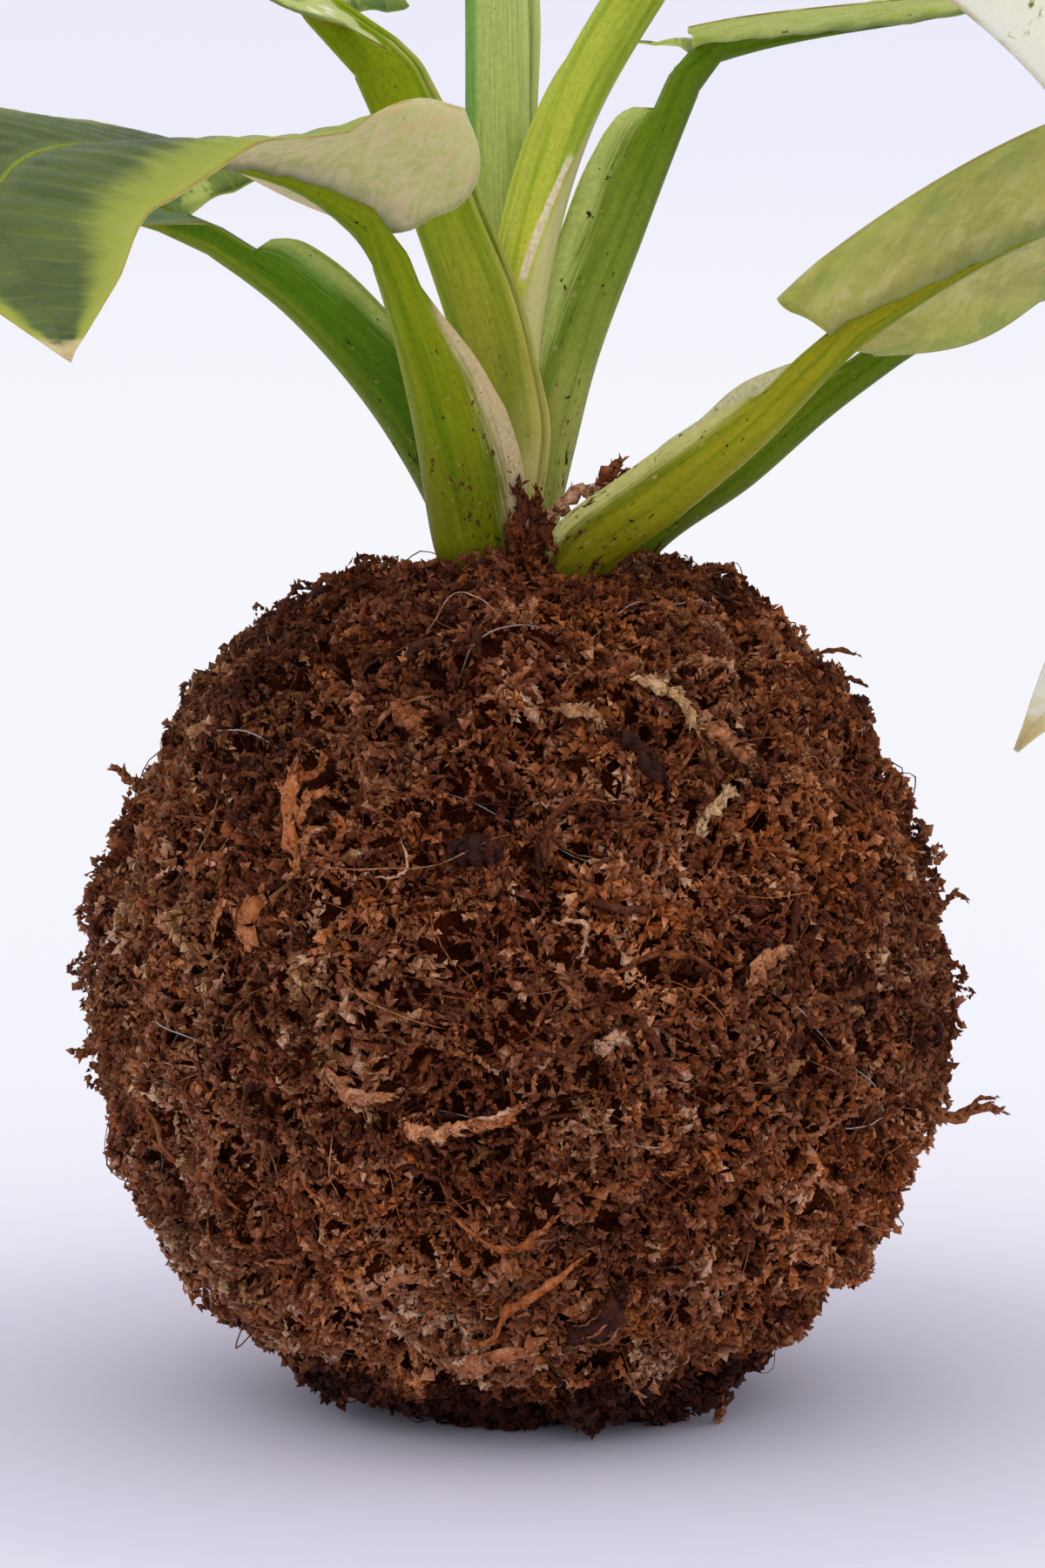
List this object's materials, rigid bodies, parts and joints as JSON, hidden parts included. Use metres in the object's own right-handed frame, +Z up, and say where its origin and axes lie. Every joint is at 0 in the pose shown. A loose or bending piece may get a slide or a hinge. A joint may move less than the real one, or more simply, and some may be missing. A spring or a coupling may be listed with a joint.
{
  "type": "kokedama moss ball plant",
  "caption": "Moss ball plant: a brown ball of thread-bound sphagnum round a core of soil, with winged leaf stalks and long variegated leaves growing out of its top.",
  "frame": {"origin": "the middle of the small flat spot under the moss ball, on the surface it rests on", "axes": "+Z points up from the surface through the ball and the plant; +X points right and +Y away from the viewer, as in the picture"},
  "size_m": [0.2672, 0.2233, 0.2375],
  "materials": {
    "moss": "matte",
    "soil": "matte",
    "thread": "gloss",
    "stalk": "satin",
    "leaf": "satin"
  },
  "bodies": {
    "root": {"soil_core": "soil", "moss_wrap": "moss", "binding_thread": "thread", "cane": "stalk", "stalk_front_left": "stalk", "stalk_left": "stalk", "stalk_upper_left": "stalk", "stalk_top": "stalk", "stalk_upper_right": "stalk", "stalk_right_back": "stalk", "stalk_right_front": "stalk", "stalk_right_low": "stalk", "blade_front_left": "leaf", "blade_left": "leaf", "blade_upper_left": "leaf", "blade_top": "leaf", "blade_upper_right": "leaf", "blade_right_back": "leaf", "blade_right_front": "leaf", "blade_right_low": "leaf"}
  },
  "joints": []
}
